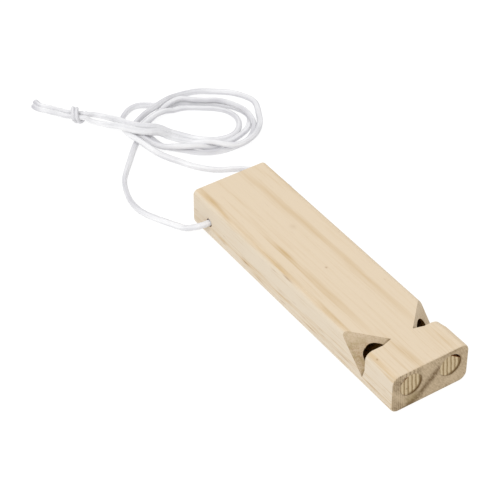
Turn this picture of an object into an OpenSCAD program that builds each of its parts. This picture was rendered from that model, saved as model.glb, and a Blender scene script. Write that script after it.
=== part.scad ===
// Two-tone wooden whistle: a pine bar with two plugged bores, and a neck cord tied through its far end.
// The mouth end faces -Y, the windows open upwards, and the origin is under the middle of the bar.

/* [Block] */
// Length of the block from the mouth face to the far face
block_l = 150; // [140:1:200]
// Width of the block
block_w = 40; // [34:0.5:48]
// Thickness of the block
block_h = 20; // [17:0.5:26]
// Radius of the two top edges between the windows and the far face
top_edge_r = 2.5; // [1:0.1:4]
// Radius of the left top edge between the window and the mouth face
left_mouth_edge_r = 3.6; // [1:0.1:5.5]
// Radius of the right top edge between the window and the mouth face
right_mouth_edge_r = 4.6; // [1:0.1:5.5]
// Radius of the two lower long edges
lower_edge_r = 4; // [1:0.1:5]
// Radius of the edges round the two end faces
end_edge_r = 0.8; // [0.3:0.1:1.5]

/* [Bores] */
// Diameter of the two bores
bore_d = 11; // [9:0.1:13]
// Distance from a bore's axis to the side face next to it
bore_from_side = 9.7; // [8:0.1:10]
// Distance from a bore's axis to the top face
bore_from_top = 7.7; // [7:0.1:9]
// Depth of the left bore from the mouth face
left_bore_depth = 115; // [60:1:116]
// Depth of the right bore from the mouth face
right_bore_depth = 100; // [60:1:116]

/* [Windows] */
// Distance from the mouth face to the square wall of each window
window_from_mouth = 18.6; // [14:0.2:30]
// Reach of each window along the top face and down the side face
window_reach = 14.3; // [12:0.1:15]
// Length of the left window's ramp along the block, from its deepest line to the corner
left_ramp_l = 16.4; // [10:0.1:20]
// Length of the right window's ramp along the block, from its deepest line to the corner
right_ramp_l = 14.4; // [10:0.1:20]
// Length of the sloping foot of the square wall along the block
toe_l = 1.4; // [1:0.1:4]
// Height of the sloping foot of the square wall
toe_h = 3.5; // [2:0.1:5]

/* [Fipple plugs] */
// Difference between the bore diameter and the plug diameter
plug_clearance = 0.1; // [0.02:0.02:0.3]
// Height of the left windway, between the plug's flat and the bore
left_windway_h = 0.5; // [0.4:0.1:2]
// Height of the right windway, between the plug's flat and the bore
right_windway_h = 1.3; // [0.4:0.1:2]
// Angle between the flats of the plugs and the top face
flat_turn = 36; // [30:1:50]
// Distance of the plug faces behind the mouth face
plug_inset = 0.1; // [0.1:0.1:1]
// Chamfer round the outer rim of a plug
plug_chamfer = 0.2; // [0.1:0.1:0.8]

/* [Cord hole] */
// Diameter of the cross hole for the cord
hole_d = 4; // [3.4:0.1:6]
// Distance from the hole's axis to the far face
hole_inset = 13.5; // [8:0.5:20]
// Height of the hole's axis above the underside
hole_z = 10; // [7:0.5:12]

/* [Cord] */
// Diameter of the cord
cord_d = 2.5; // [2:0.1:2.8]
// Gap between the cord and the bottom of its hole
cord_seat_gap = 0.3; // [0.1:0.1:0.4]
// Diameter of the knot across its wraps
knot_d = 8; // [7.6:0.1:9]
// Length of the knot along the cord
knot_l = 5; // [5:0.5:7]

/* [Hidden] */

$fn = 64;
wood_colour = "burlywood";
plug_colour = "tan";
cord_colour = "white";

// How far a cutting shape runs past the face that it opens
overcut = 1;

mouth_y = -block_l / 2;
far_y = block_l / 2;
bore_r = bore_d / 2;
bore_x = block_w / 2 - bore_from_side;
bore_z = block_h - bore_from_top;
window_wall_y = mouth_y + window_from_mouth;
// Depth of a window, square to the plane that cuts the corner at 45 degrees
window_depth = window_reach / sqrt(2);
// Length of a window's cutting shape, past the block on both sides of the corner
window_span = 2 * block_w;

plug_d = bore_d - plug_clearance;
plug_l = window_from_mouth - plug_inset;

// The cord's points are measured from the foot of the far face, so that the cord follows the block's length
hole_y = -hole_inset;
cord_r = cord_d / 2;
cord_z = hole_z - (hole_d - cord_d) / 2 + cord_seat_gap;
lead_sides = 8;
loop_sides = 6;

// The cord lies straight in its hole, bends away from the block and drops to the table behind it
left_lead_points = [
    [0, hole_y, cord_z],
    [-block_w / 4, hole_y, cord_z],
    [-block_w / 2 + cord_d, hole_y, cord_z],
    [-block_w / 2 - 1.5, hole_y, cord_z],
    [-block_w / 2 - 4.5, hole_y + 0.7, cord_z],
    [-block_w / 2 - 6.3, hole_y + 3, cord_z - 1.3],
    [-27, -6.8, 5.6],
    [-27.5, -3, 3.4],
    [-28.5, 2.5, 1.6],
    [-31, 7.5, 1.4],
    [-33.5, 12.5, 1.4],
    [-35.5, 17.5, 1.4],
    [-36.5, 23, 1.4],
    [-36, 30, 1.4],
    [-33.5, 38, 1.4],
    [-30, 45, 1.4],
    [-25, 51, 1.4],
    [-19.5, 57, 1.4]
];
right_lead_points = [
    [0, hole_y, cord_z],
    [block_w / 4, hole_y, cord_z],
    [block_w / 2 - cord_d, hole_y, cord_z],
    [block_w / 2 + 1.5, hole_y, cord_z],
    [block_w / 2 + 4.5, hole_y + 0.7, cord_z],
    [block_w / 2 + 6.5, hole_y + 3.2, cord_z - 1.4],
    [27.8, -6.5, 5.2],
    [28.5, -2, 2.8],
    [28.5, 5, 1.4],
    [27.5, 11, 1.4],
    [25, 16.5, 1.4],
    [21, 20.5, 1.4],
    [16, 23.5, 1.4],
    [11.5, 26, 1.4],
    [8, 29, 1.4],
    [4.5, 33, 1.4],
    [1.5, 37.5, 1.4],
    [-1, 42.5, 1.4],
    [-4, 48.5, 1.6]
];

// The loops turn clockwise round one centre, with a station at each step of the angle.
// A station is a distance from the centre and a height above the table
loops_centre = [22, 64];
station_step = 20;
rings_per_turn = 24;
left_loops_from = 180;
left_stations = [
    [35, 1.4], [26.5, 1.4], [23, 1.4], [20.5, 2.4], [19.3, 4.3], [20.3, 4.4],
    [21.2, 1.9], [21.8, 1.4], [24.3, 1.4], [26.7, 1.4], [28.7, 1.4], [28.7, 1.4],
    [27.5, 1.4], [26, 1.4], [25.4, 1.4], [24.2, 1.4], [21, 1.4], [21.7, 1.4],
    [25, 3.4], [26.5, 4.5], [20.8, 4.5], [17.5, 3.4], [15.7, 1.5], [14.5, 1.4],
    [13.5, 1.4], [13.8, 1.4], [15.8, 1.4], [18.7, 1.4], [21, 1.4], [21.8, 1.4],
    [21, 1.4], [18, 1.4], [14.5, 1.4], [12.2, 1.4], [11.4, 1.4]
];
right_loops_from = 200;
right_stations = [
    [30.3, 2.2], [32, 4.4], [35, 3.7], [36.5, 1.4], [32, 1.4], [22.8, 1.4],
    [19, 1.4], [17.5, 1.4], [17.9, 1.4], [20.4, 1.4], [23.3, 1.4], [25.6, 1.4],
    [25.5, 1.4], [24.3, 1.4], [22.7, 1.4], [22, 1.8], [22, 4.2], [23.6, 4.7],
    [26.6, 3.7], [28.6, 4.4], [31, 4.4], [26.3, 4.4], [23.6, 4.4], [23.3, 4.4],
    [24.7, 2.3], [27.3, 1.4], [29.3, 1.4], [33, 1.4], [35.4, 1.4], [34.3, 1.4],
    [33, 1.4], [31.8, 1.7], [29, 4.3], [20, 4.5], [16, 1.9], [14.5, 1.4]
];

// The knot lies on the table with its two strands side by side in its faces
knot_heading = 135;
knot_centre = [-24.5, 100, knot_d / 2];
strand_offset = 1.6;
function heading(angle) = [cos(angle), sin(angle), 0];
function knot_point(along, side) =
    knot_centre + along * heading(knot_heading) + side * heading(knot_heading - 90);

// The two strands climb over the loops and come down to the knot, which they meet square
left_end_points = [
    [10.8, 60.3, 1.4],
    [7, 63.6, 2.9],
    [2.4, 66, 5.8],
    [-2.4, 67.8, 7.5],
    [-6.1, 70.8, 7.6],
    [-9.2, 75, 7.5],
    [-10.8, 81.5, 6],
    [-11.3, 88, 3.2],
    [-12.5, 93.5, 1.6],
    [-16, 96.5, 2.4],
    knot_point(-knot_l / 2 - cord_d, strand_offset),
    knot_point(-knot_l / 2, strand_offset)
];
right_end_points = [
    [8.4, 57.3, 1.4],
    [5, 60.6, 2.9],
    [0.3, 62.3, 6.2],
    [-4.5, 63.8, 7.5],
    [-8.3, 67.2, 7.6],
    [-11.4, 72, 7.5],
    [-13.6, 78.5, 6],
    [-15, 84.5, 3.2],
    [-17, 89.5, 1.6],
    [-19.5, 93, 2.6],
    knot_point(-knot_l / 2 - cord_d, -strand_offset),
    knot_point(-knot_l / 2, -strand_offset)
];
left_tail_points = [
    knot_point(knot_l / 2, strand_offset),
    knot_point(knot_l / 2 + cord_d, strand_offset),
    [-27.6, 109, 2.4],
    [-29.2, 113.2, 1.5],
    [-31.6, 117, 1.4],
    [-33.8, 119.7, 1.4],
    [-34.8, 122.4, 1.4],
    [-35.1, 125.1, 1.4]
];
right_tail_points = [
    knot_point(knot_l / 2, -strand_offset),
    knot_point(knot_l / 2 + cord_d, -strand_offset),
    [-30.5, 108.2, 2.4],
    [-32.1, 112.3, 1.5],
    [-34.3, 115.8, 1.4]
];

function loop_points(stations, from_angle) = [
    for (i = [0:len(stations) - 1])
        let (outward = heading(from_angle - station_step * i))
            [
                loops_centre[0] + stations[i][0] * outward[0],
                loops_centre[1] + stations[i][0] * outward[1],
                stations[i][1]
            ]
];
function behind_block(points) = [for (p = points) p + [0, far_y, 0]];

left_route = behind_block(
    concat(left_lead_points, loop_points(left_stations, left_loops_from), left_end_points)
);
right_route = behind_block(
    concat(right_lead_points, loop_points(right_stations, right_loops_from), right_end_points)
);
left_lead_end = len(left_lead_points);
left_loops_end = left_lead_end + len(left_stations) - 1;
right_lead_end = len(right_lead_points);
right_loops_end = right_lead_end + len(right_stations) - 1;

// A smooth curve through a list of points, with the place along it counted in points.
// It is never lower than the table lets the cord lie
function unit(v) = v / norm(v);
function segment_of(points, place) = min(floor(place), len(points) - 2);
function four_points(points, i) = [for (k = [i - 1:i + 2]) points[min(max(k, 0), len(points) - 1)]];
function linear_part(p) = (p[2] - p[0]) / 2;
function square_part(p) = p[0] - 2.5 * p[1] + 2 * p[2] - p[3] / 2;
function cubic_part(p) = (3 * p[1] - p[0] - 3 * p[2] + p[3]) / 2;
function curve_at(points, place) =
    let (
        i = segment_of(points, place),
        t = place - i,
        p = four_points(points, i),
        at = p[1] + linear_part(p) * t + square_part(p) * t * t + cubic_part(p) * t * t * t
    )
        [at[0], at[1], max(at[2], cord_r)];
function tangent_at(points, place) =
    let (
        i = segment_of(points, place),
        t = place - i,
        p = four_points(points, i)
    )
        unit(linear_part(p) + 2 * square_part(p) * t + 3 * cubic_part(p) * t * t);

// Places of a tube's rings: at every point of a lead, and evenly round the loops
function whole_places(first, last) = [for (i = [first:last]) i];
function even_places(first, last) =
    let (count = round((last - first) * station_step * rings_per_turn / 360))
        [for (i = [0:count]) first + (last - first) * i / count];

function ring_points(centre, tangent, sides) =
    let (
        across = unit(cross(tangent, [0, 0, 1])),
        upward = cross(across, tangent)
    )
        [
            for (k = [0:sides - 1])
                let (angle = 360 * (k + 0.5) / sides)
                    centre + cord_r * (cos(angle) * across + sin(angle) * upward)
        ];

// The least gap of the cord to itself, measured on points past the bend at the hole
measure_from = 7;
measure_step = 0.5;
measure_skip = 5;
function measured_points(points) = [
    for (place = [measure_from:measure_step:len(points) - 1])
        curve_at(points, place)
];
function gap_within(points) = min([
    for (i = [0:len(points) - 1 - measure_skip], j = [i + measure_skip:len(points) - 1])
        norm(points[i] - points[j]) - cord_d
]);
function gap_between(some, others) = min([for (a = some, b = others) norm(a - b) - cord_d]);
echo(left_half_gap_to_itself = gap_within(measured_points(left_route)));
echo(right_half_gap_to_itself = gap_within(measured_points(right_route)));
echo(gap_between_halves = gap_between(measured_points(left_route), measured_points(right_route)));

// One closed tube along a stretch of a route
module cord_tube(points, places, sides) {
    rings = len(places);
    corners = [
        for (place = places)
            each ring_points(curve_at(points, place), tangent_at(points, place), sides)
    ];
    walls = [
        for (i = [0:rings - 2], k = [0:sides - 1])
            let (
                a = i * sides + k,
                b = i * sides + (k + 1) % sides,
                c = a + sides,
                d = b + sides
            )
                each [[a, c, b], [b, c, d]]
    ];
    last_ring = (rings - 1) * sides;
    first_cap = [for (k = [1:sides - 2]) [0, k, k + 1]];
    last_cap = [for (k = [1:sides - 2]) [last_ring, last_ring + k + 1, last_ring + k]];
    polyhedron(corners, concat(walls, first_cap, last_cap));
}

// A rectangle centred on the origin, with a radius for its upper left, its upper right and its two lower corners
module rounded_rectangle(size, left_r, right_r, lower_r) {
    half_w = size[0] / 2;
    half_h = size[1] / 2;
    translate([left_r - half_w, 0])
        square([size[0] - left_r - right_r, half_h]);
    translate([lower_r - half_w, -half_h])
        square([size[0] - 2 * lower_r, half_h]);
    translate([-half_w, lower_r - half_h])
        square([half_w, size[1] - lower_r - left_r]);
    translate([0, lower_r - half_h])
        square([half_w, size[1] - lower_r - right_r]);
    translate([left_r - half_w, half_h - left_r])
        circle(r = left_r);
    translate([half_w - right_r, half_h - right_r])
        circle(r = right_r);
    for (side = [-1, 1])
        translate([side * (half_w - lower_r), lower_r - half_h])
            circle(r = lower_r);
}

// A stretch of the bar's section between two places along it
module bar_stretch(from_y, to_y, left_r, right_r) {
    translate([0, to_y, 0])
        rotate([90, 0, 0])
            linear_extrude(to_y - from_y)
                rounded_rectangle([block_w, block_h], left_r, right_r, lower_edge_r);
}

// The bar before drilling: its section, its side view and its plan, each run through and kept where they meet.
// The top edges change their radius where the windows cut them away
module bar() {
    translate([0, 0, block_h / 2])
        intersection() {
            union() {
                bar_stretch(mouth_y - overcut, window_wall_y + toe_l, left_mouth_edge_r, right_mouth_edge_r);
                bar_stretch(window_wall_y + toe_l, far_y + overcut, top_edge_r, top_edge_r);
            }
            rotate([90, 0, 90])
                linear_extrude(block_w + 2 * overcut, center = true)
                    rounded_rectangle([block_l, block_h], end_edge_r, end_edge_r, end_edge_r);
            linear_extrude(block_h + 2 * overcut, center = true)
                rounded_rectangle([block_w, block_l], end_edge_r, end_edge_r, end_edge_r);
        }
}

// A blind bore drilled from the mouth face. Side is -1 on the left and 1 on the right
module bore(side, depth) {
    translate([side * bore_x, mouth_y + depth, bore_z])
        rotate([90, 0, 0])
            cylinder(d = bore_d, h = depth + overcut);
}

// A window across a top corner: a square wall with a sloping foot, and a ramp that rises to the corner
module window(side, ramp_l) {
    rise = window_depth + overcut;
    run = ramp_l * rise / window_depth;
    translate([side * block_w / 2, window_wall_y, block_h])
        rotate([0, side * 45, 0])
            translate([0, 0, -window_depth])
                rotate([90, 0, 90])
                    linear_extrude(window_span, center = true)
                        polygon([[toe_l, 0], [toe_l + run, rise], [0, rise], [0, toe_h]]);
}

module cord_hole() {
    translate([0, far_y + hole_y, hole_z])
        rotate([0, 90, 0])
            cylinder(d = hole_d, h = block_w + 2 * overcut, center = true);
}

// A dowel that closes the mouth end of a bore, with a flat facing the top corner of its side
module fipple_plug(side, windway_h) {
    flat_from_axis = bore_r - windway_h;
    translate([side * bore_x, mouth_y + plug_inset, bore_z])
        difference() {
            rotate([-90, 0, 0])
                union() {
                    cylinder(d1 = plug_d - 2 * plug_chamfer, d2 = plug_d, h = plug_chamfer);
                    translate([0, 0, plug_chamfer])
                        cylinder(d = plug_d, h = plug_l - plug_chamfer);
                }
            rotate([0, side * flat_turn, 0])
                translate([-bore_d, -overcut, flat_from_axis])
                    cube([2 * bore_d, plug_l + 2 * overcut, bore_d]);
        }
}

module whistle_block() {
    color(wood_colour)
        difference() {
            bar();
            bore(-1, left_bore_depth);
            bore(1, right_bore_depth);
            window(-1, left_ramp_l);
            window(1, right_ramp_l);
            cord_hole();
        }
}

module left_fipple_plug() {
    color(plug_colour)
        fipple_plug(-1, left_windway_h);
}

module right_fipple_plug() {
    color(plug_colour)
        fipple_plug(1, right_windway_h);
}

module cord_left_lead() {
    color(cord_colour)
        cord_tube(left_route, whole_places(0, left_lead_end), lead_sides);
}

module cord_right_lead() {
    color(cord_colour)
        cord_tube(right_route, whole_places(0, right_lead_end), lead_sides);
}

module cord_left_loops() {
    color(cord_colour)
        cord_tube(left_route, even_places(left_lead_end, left_loops_end), loop_sides);
}

module cord_right_loops() {
    color(cord_colour)
        cord_tube(right_route, even_places(right_lead_end, right_loops_end), loop_sides);
}

module cord_left_end_run() {
    color(cord_colour)
        cord_tube(left_route, whole_places(left_loops_end, len(left_route) - 1), lead_sides);
}

module cord_right_end_run() {
    color(cord_colour)
        cord_tube(right_route, whole_places(right_loops_end, len(right_route) - 1), lead_sides);
}

// Two wraps of cord drawn tight round the two strands
module cord_knot() {
    wrap_r = knot_d / 2 - cord_r;
    color(cord_colour)
        translate(knot_centre + [0, far_y, 0])
            rotate([0, 90, knot_heading])
                union() {
                    cylinder(r = wrap_r, h = knot_l, center = true);
                    for (side = [-1, 1])
                        translate([0, 0, side * (knot_l / 2 - cord_r)])
                            rotate_extrude()
                                translate([wrap_r, 0])
                                    circle(r = cord_r);
                }
}

module cord_left_tail() {
    color(cord_colour)
        cord_tube(behind_block(left_tail_points), whole_places(0, len(left_tail_points) - 1), lead_sides);
}

module cord_right_tail() {
    color(cord_colour)
        cord_tube(behind_block(right_tail_points), whole_places(0, len(right_tail_points) - 1), lead_sides);
}

whistle_block();
left_fipple_plug();
right_fipple_plug();
cord_left_lead();
cord_right_lead();
cord_left_loops();
cord_right_loops();
cord_left_end_run();
cord_right_end_run();
cord_knot();
cord_left_tail();
cord_right_tail();
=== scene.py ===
import math

import bmesh
import bpy
from bpy.props import FloatProperty, FloatVectorProperty, PointerProperty
from bpy.types import NodeSocket, Operator, Panel, PropertyGroup
from mathutils import Matrix, Vector


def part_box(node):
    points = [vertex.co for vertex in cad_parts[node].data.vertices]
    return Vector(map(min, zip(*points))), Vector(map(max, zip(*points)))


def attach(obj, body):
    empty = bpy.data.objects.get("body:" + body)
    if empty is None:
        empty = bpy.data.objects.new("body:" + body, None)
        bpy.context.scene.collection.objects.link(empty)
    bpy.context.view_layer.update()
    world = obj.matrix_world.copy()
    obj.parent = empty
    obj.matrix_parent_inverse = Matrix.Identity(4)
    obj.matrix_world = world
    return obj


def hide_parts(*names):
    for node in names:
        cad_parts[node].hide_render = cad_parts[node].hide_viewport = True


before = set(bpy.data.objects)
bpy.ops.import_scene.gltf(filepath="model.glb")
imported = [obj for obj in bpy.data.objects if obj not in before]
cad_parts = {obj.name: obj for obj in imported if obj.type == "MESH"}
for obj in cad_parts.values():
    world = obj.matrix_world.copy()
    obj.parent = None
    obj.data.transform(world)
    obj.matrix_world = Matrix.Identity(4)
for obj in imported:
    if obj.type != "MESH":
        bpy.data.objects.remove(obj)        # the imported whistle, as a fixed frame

bl_info = {
    "name": "Two-tone wooden whistle",
    "version": (1, 0, 0),
    "blender": (4, 5, 0),
    "location": "View3D > Sidebar > Whistle",
    "description": "Builds a pine whistle with two plugged bores and a knotted neck cord",
    "category": "Add Mesh",
}

MM = 0.001
NEAR = 1e-6        # metres within which two places count as one
CUT_REACH = 1e-7        # metres within which a corner counts as lying on a cutting plane
WELD_REACH = 2e-6        # metres within which corners are merged
SHARP_ANGLE = math.radians(28)        # edges that turn by more than this stay sharp
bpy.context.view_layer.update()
BLOCK_LOW, BLOCK_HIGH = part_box("whistle_block")
PLUG_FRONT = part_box("left_fipple_plug")[0][1]
FAR_FACE = BLOCK_HIGH[1] / MM
# How far the chipped lip of each bore lies off the bore's axis, sideways and upwards
LEFT_CHIP = (-1.05 * MM, -1.05 * MM)
RIGHT_CHIP = (0.45 * MM, 0.45 * MM)
CHIP_LENGTH = 7 * MM        # along the bore, from the foot of the window's wall
SAW_SIZE = 60 * MM        # larger than a window
DRILL_SIDES, HOLE_SIDES = 96, 48
ALONG, ACROSS = (math.pi / 2, 0, 0), (0, math.pi / 2, 0)        # turn of a drill that points that way
OVERSHOOT = 2 * MM        # how far a drill reaches past a face
ROUND_SEGMENTS, END_SEGMENTS, CHAMFER_SEGMENTS = 8, 5, 3        # facets across a rounded edge
EDGE_CHANGE = 1 * MM        # along which the top edges change their radius under the windows
UP = Vector((0, 0, 1))


def linear(red, green, blue):
    """A colour given from 0 to 255, as the linear values that a shader works with."""
    def one(value):
        part = value / 255
        return part / 12.92 if part <= 0.04045 else ((part + 0.055) / 1.055) ** 2.4
    return (one(red), one(green), one(blue))


def size(name, description, default):
    """A length that a user can change."""
    return FloatProperty(
        name=name, description=description, default=default, min=0,
        precision=5, subtype="DISTANCE", unit="LENGTH",
    )


def colour(name, description, default):
    """A colour that a user can change."""
    return FloatVectorProperty(
        name=name, description=description, default=default,
        min=0, max=1, size=3, subtype="COLOR",
    )


class WhistleSizes(PropertyGroup):
    """Sizes of the wooden pieces and of the cord"""
    block_length: size("Block length", "From the mouth face to the far face", BLOCK_HIGH[1] - BLOCK_LOW[1])
    block_width: size("Block width", "Across both bores", BLOCK_HIGH[0] - BLOCK_LOW[0])
    block_height: size("Block height", "From the underside to the top face", BLOCK_HIGH[2] - BLOCK_LOW[2])
    top_edge: size("Top edge radius", "Top edges between the windows and the far face", 2.5 * MM)
    left_mouth_edge: size("Left mouth edge radius", "Top edge from the window to the mouth face", 3.6 * MM)
    right_mouth_edge: size("Right mouth edge radius", "Top edge from the window to the mouth face", 4.2 * MM)
    right_wall_edge: size("Right wall edge radius", "Top edge beside the window's square wall", 5.8 * MM)
    right_wall_run: size("Right wall run", "Along which the right mouth edge grows rounder", 4.5 * MM)
    lower_edge: size("Lower edge radius", "Rounding of the two lower long edges", 4 * MM)
    end_edge: size("End edge radius", "Rounding round the two end faces", 0.8 * MM)
    bore_radius: size("Bore radius", "Half the width of a bore", 5.5 * MM)
    bore_x: size("Bore axis from the middle", "Sideways, to each side", 10.3 * MM)
    bore_z: size("Bore axis height", "Above the underside", 12.3 * MM)
    left_bore_depth: size("Left bore depth", "From the mouth face", 115 * MM)
    right_bore_depth: size("Right bore depth", "From the mouth face", 100 * MM)
    window_from_mouth: size("Window wall", "From the mouth face to the square wall", 18.6 * MM)
    window_reach: size("Window reach", "Along the top and down the side", 14.3 * MM)
    left_ramp: size("Left ramp length", "From the deepest line to the corner", 16.4 * MM)
    right_ramp: size("Right ramp length", "From the deepest line to the corner", 14.4 * MM)
    toe_length: size("Toe length", "Sloping foot of the square wall, along the block", 1.4 * MM)
    toe_height: size("Toe height", "Sloping foot of the square wall, upwards", 3.5 * MM)
    plug_radius: size("Plug radius", "Half the width of a plug", 5.48 * MM)
    plug_inset: size("Plug inset", "Plug faces behind the mouth face", PLUG_FRONT - BLOCK_LOW[1])
    plug_chamfer: size("Plug chamfer", "Round the outer rim of a plug", 0.08 * MM)
    left_windway: size("Left windway", "Between the plug's flat and the bore", 0.5 * MM)
    right_windway: size("Right windway", "Between the plug's flat and the bore", 1.3 * MM)
    flat_turn: FloatProperty(
        name="Flat turn", description="Angle between the plugs' flats and the top face",
        default=math.radians(36), subtype="ANGLE", unit="ROTATION",
    )
    hole_radius: size("Cord hole radius", "Half the width of the cross hole", 2 * MM)
    hole_inset: size("Cord hole inset", "From the hole's axis to the far face", 13.5 * MM)
    hole_z: size("Cord hole height", "Above the underside", 10 * MM)
    cord_diameter: size("Cord diameter", "Width of the satin cord over its loose threads", 2.75 * MM)
    wrap_diameter: size("Wrap diameter", "Width of a strand pulled tight in the knot", 1.95 * MM)


class WhistleColours(PropertyGroup):
    """Colours of the pine, the dowel and the cord"""
    pine: colour("Pine", "Sanded top face of the block", linear(215, 197, 171))
    pine_side: colour("Pale pine", "Sapwood on the left side", linear(213, 199, 178))
    streak: colour("Grain streak", "Tan late wood", linear(190, 159, 109))
    resin: colour("Resin line", "Short dark lines of resin", linear(146, 108, 66))
    end_grain: colour("End grain", "Early wood on the mouth face and far face", linear(192, 171, 140))
    ring: colour("Year ring", "Dark late wood in the end grain", linear(117, 94, 62))
    heart: colour("Heart stain", "Olive stain under the left plug", linear(150, 130, 82))
    ramp: colour("Ramp", "Rough sawn slope of a window", linear(184, 164, 135))
    # Painted shade and light: the next colour is drilled wood darkened to stand for the shade inside the
    # bores and deep in the cord hole, the one after it a lighter copy, a painted pool of the window's light
    # on a bore's wall
    bore: colour("Bore", "Scorched wall of a drilled hole", linear(92, 50, 18))
    lit_bore_wall: colour("Bore wall", "Brown wall of a bore, seen through its window", linear(122, 84, 28))
    hole: colour("Hole", "Drilled wall near the mouth of the cord hole", linear(150, 110, 75))
    dowel: colour("Dowel", "Early wood in the plugs", linear(203, 183, 147))
    dowel_ring: colour("Dowel ring", "Late wood in the plugs", linear(138, 112, 72))
    # Painted shade with a glued joint: brown beside each plug and on its rim, only on the side away from the
    # light; the same colour is painted shade in the saw kerf and a real speck on the left plug
    glue_and_shade: colour("Glue line", "Brown rim beside a plug", linear(112, 88, 48))
    # Painted shade: the next colour, warm and dark, stands for the shade on a plug's flat inside the narrow
    # windway
    windway: colour("Windway", "Warm flat of a plug, seen through its narrow windway", linear(180, 115, 55))
    cord: colour("Cord", "White satin", linear(237, 237, 238))
    # The grey that the cord mixes towards, for its threads and sealed tips and for its painted shade
    cord_threads_and_shade: colour("Cord shade", "Between the threads of the cord", linear(194, 193, 198))
    floor: colour("Floor", "Pale floor, lit from below", linear(124, 124, 124))


# Tools for modelling by hand

def deselect_all():
    if bpy.context.object and bpy.context.object.mode != "OBJECT":
        bpy.ops.object.mode_set(mode="OBJECT")
    bpy.ops.object.select_all(action="DESELECT")


def make_active(piece):
    deselect_all()
    piece.select_set(True)
    bpy.context.view_layer.objects.active = piece


def apply_place(piece):
    """Puts the piece's place into its mesh."""
    make_active(piece)
    bpy.ops.object.transform_apply(location=True, rotation=True, scale=True)


def edit(piece, kind):
    make_active(piece)
    bpy.ops.object.mode_set(mode="EDIT")
    bpy.ops.mesh.select_mode(type=kind)
    bpy.ops.mesh.select_all(action="DESELECT")


def choose(piece, kind, wanted):
    """Opens the piece for editing with the edges or faces that are wanted selected."""
    edit(piece, kind)
    mesh = bmesh.from_edit_mesh(piece.data)
    mesh.normal_update()
    parts = mesh.edges if kind == "EDGE" else mesh.faces
    found = [part for part in parts if wanted(part)]
    for part in found:
        part.select_set(True)
    mesh.select_flush_mode()
    bmesh.update_edit_mesh(piece.data)
    if not found:
        raise RuntimeError(f"nothing to select on {piece.name}")


def close_edit():
    bpy.ops.object.mode_set(mode="OBJECT")


def slice_off(piece, point, normal):
    """Cuts the piece by a plane and closes the cut. What lies on the side that the normal points to goes."""
    edit(piece, "FACE")
    bpy.ops.mesh.select_all(action="SELECT")
    bpy.ops.mesh.bisect(
        plane_co=point, plane_no=normal, use_fill=True, clear_outer=True, threshold=CUT_REACH,
    )
    close_edit()


def cut(piece, cutter):
    """Takes the cutter's shape out of the piece, and the cutter with it."""
    make_active(piece)
    step = piece.modifiers.new("cut", "BOOLEAN")
    step.object = cutter
    step.operation = "DIFFERENCE"
    step.solver = "EXACT"
    bpy.ops.object.modifier_apply(modifier=step.name)
    bpy.data.objects.remove(cutter)


def drill(radius, length, middle, turn, sides=DRILL_SIDES):
    """A round bar at its place, to cut with or to shape further."""
    deselect_all()
    bpy.ops.mesh.primitive_cylinder_add(
        vertices=sides, radius=radius, depth=length, location=middle, rotation=turn,
    )
    tool = bpy.context.object
    apply_place(tool)
    return tool


def bevel(radius, segments):
    """Rounds the edges that are chosen and closes the editing."""
    bpy.ops.mesh.bevel(offset=radius, segments=segments, profile=0.5, affect="EDGES")
    close_edit()


def round_end(piece, place, radius, segments):
    """Rounds the rim of the end face that lies at one place along the block."""
    choose(piece, "EDGE", lambda edge: all(abs(corner.co.y - place) < NEAR for corner in edge.verts))
    bevel(radius, segments)


def weld(piece):
    """Merges corners that a cut left on top of each other."""
    edit(piece, "VERT")
    bpy.ops.mesh.select_all(action="SELECT")
    bpy.ops.mesh.remove_doubles(threshold=WELD_REACH)
    close_edit()


def smooth(piece):
    """Shades the round faces evenly and keeps the sharp edges."""
    make_active(piece)
    bpy.ops.object.shade_smooth_by_angle(angle=SHARP_ANGLE)
    step = piece.modifiers.new("even shading", "WEIGHTED_NORMAL")
    step.keep_sharp = True
    bpy.ops.object.modifier_apply(modifier=step.name)


def hand_over(piece, name, material, slot, *nodes):
    """Names a finished piece, paints it and gives it its place in the frame."""
    piece.name = name
    piece.data.name = name
    piece.data.materials.clear()
    piece.data.materials.append(material)
    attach(piece, "root")
    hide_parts(*nodes)
    deselect_all()
    return piece


# Materials

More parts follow.
